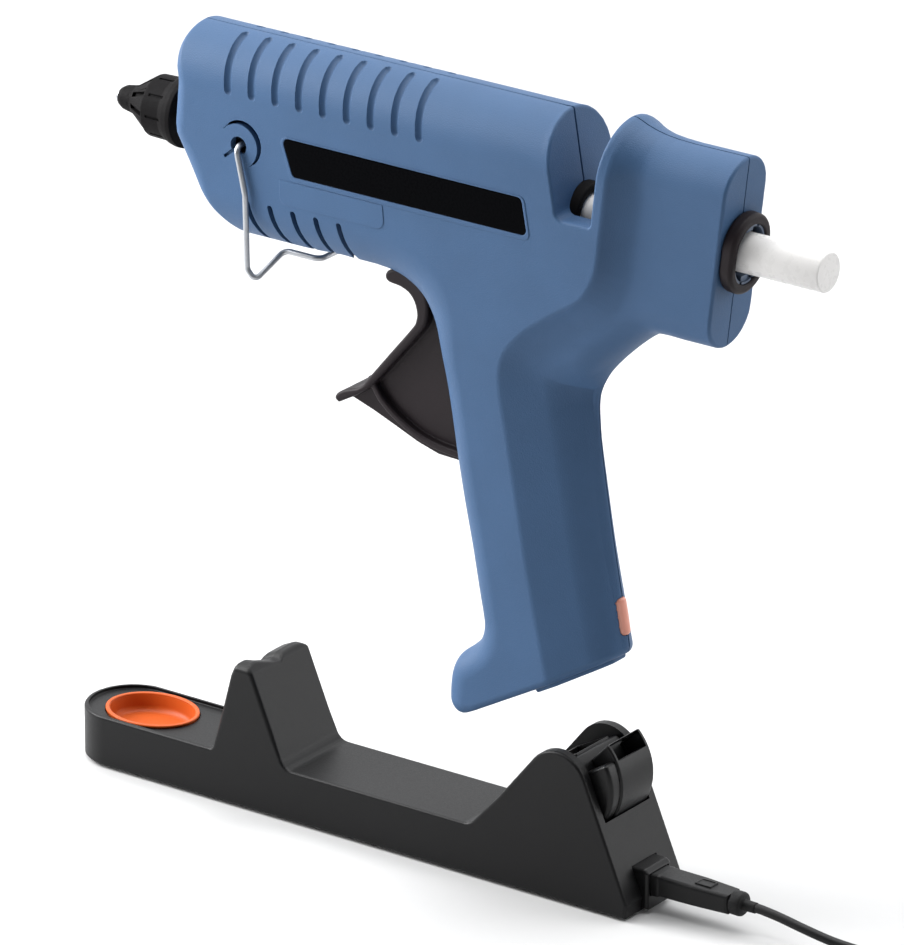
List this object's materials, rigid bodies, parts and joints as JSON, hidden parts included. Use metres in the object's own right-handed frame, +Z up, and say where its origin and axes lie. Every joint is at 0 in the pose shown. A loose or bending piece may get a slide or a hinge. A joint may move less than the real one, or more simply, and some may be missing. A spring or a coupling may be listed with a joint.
{
  "type": "hot glue applicator with base station",
  "caption": "Pistol-grip hot glue applicator with barrel, trigger feed, wire bail and glue stick, hovering over its powered base station, with drip tray, tilting contact head and lead.",
  "frame": {"origin": "on the bench under the middle of the station and applicator", "axes": "+Z up, +X towards the glue stick's end, -X towards the nozzle, Y across the thickness"},
  "size_m": [0.4114, 0.0434, 0.2236],
  "materials": {
    "blue_plastic": "fine moulded texture",
    "black_plastic": "satin moulded",
    "trigger_plastic": "satin moulded",
    "orange_plastic": "semi-gloss",
    "label_film": "gloss film, bare",
    "lens_plastic": "translucent",
    "silicone": "soft, heat resistant",
    "silicone_red": "soft, heat resistant",
    "rubber": "matt",
    "cord_rubber": "matt sheath",
    "brass": "turned",
    "gilt": "plated contacts",
    "aluminium": "die cast",
    "steel": "plated",
    "wire_steel": "bright drawn wire",
    "ceramic": "sintered",
    "mica": "heat resistant board",
    "glue": "milky translucent",
    "board": "printed circuit",
    "wire_sheath": "braided glass sheath"
  },
  "bodies": {
    "station": {"base_shell": "black_plastic", "base_bottom": "black_plastic", "base_screws": "steel", "rubber_feet": "rubber", "head_pin": "steel", "inlet_socket": "black_plastic", "inlet_pins": "gilt", "station_wires": "wire_sheath", "lead_connector": "black_plastic", "lead_boot": "rubber", "lead_run": "cord_rubber", "lead_coil": "cord_rubber", "lead_tail": "cord_rubber", "lead_tie": "black_plastic", "mains_plug": "black_plastic", "plug_pins": "steel"},
    "contact_head": {"contact_head": "black_plastic", "head_contacts": "gilt"},
    "drip_tray": {"drip_tray": "orange_plastic"},
    "applicator": {"housing_near": "blue_plastic", "housing_far": "blue_plastic", "housing_screws": "steel", "heating_chamber": "aluminium", "heater_plates": "ceramic", "heater_clamps": "steel", "thermal_cutout": "ceramic", "inlet_sleeve": "silicone_red", "chamber_supports": "mica", "guide_rod": "steel", "return_spring": "steel", "trigger_pin": "steel", "front_guide_ring": "black_plastic", "rear_guide_bush": "black_plastic", "label_near": "label_film", "label_far": "label_film", "indicator_lens": "lens_plastic", "led_board": "board", "contact_plate": "blue_plastic", "contact_pads": "gilt", "heater_leads": "wire_sheath"},
    "trigger": {"trigger": "trigger_plastic"},
    "feed_carriage": {"feed_carriage": "black_plastic", "grip_plate": "steel"},
    "glue_stick": {"glue_stick": "glue"},
    "bail": {"bail_wire": "wire_steel"},
    "nozzle": {"nozzle": "brass", "nozzle_sleeve": "silicone"}
  },
  "joints": [
    {"name": "gun_lift", "type": "slide", "parent": "station", "child": "applicator", "axis": [0, 0, 1], "range_m": [-0.018, 0.09]},
    {"name": "head_tilt", "type": "hinge", "parent": "station", "child": "contact_head", "pos_m": [0.0462, 0, 0.034], "axis": [0, 1, 0], "range_deg": [-15, 18]},
    {"name": "tray_lift", "type": "slide", "parent": "station", "child": "drip_tray", "axis": [0, 0, 1], "range_m": [0, 0.03]},
    {"name": "trigger_pull", "type": "hinge", "parent": "applicator", "child": "trigger", "pos_m": [0.01225, 0, 0.1735], "axis": [0, -1, 0], "range_deg": [0, 18], "stiffness_Nm_per_rad": 1.5},
    {"name": "feed_slide", "type": "slide", "parent": "applicator", "child": "feed_carriage", "axis": [-1, 0, 0], "range_m": [0, 0.0066], "deforming": ["return_spring"]},
    {"name": "stick_feed", "type": "slide", "parent": "applicator", "child": "glue_stick", "axis": [-1, 0, 0], "range_m": [0, 0.0066]},
    {"name": "bail_swing", "type": "hinge", "parent": "applicator", "child": "bail", "pos_m": [-0.0576, 0, 0.194], "axis": [0, 1, 0], "range_deg": [0, 60]},
    {"name": "nozzle_turn", "type": "hinge", "parent": "applicator", "child": "nozzle", "pos_m": [-0.09, 0, 0.1934], "axis": [-1, 0, 0], "range_deg": [0, 180]}
  ],
  "couplings": [
    {"joint": "feed_slide", "follows": "trigger_pull", "m_per_rad": 0.0201},
    {"joint": "stick_feed", "follows": "trigger_pull", "m_per_rad": 0.0201}
  ]
}
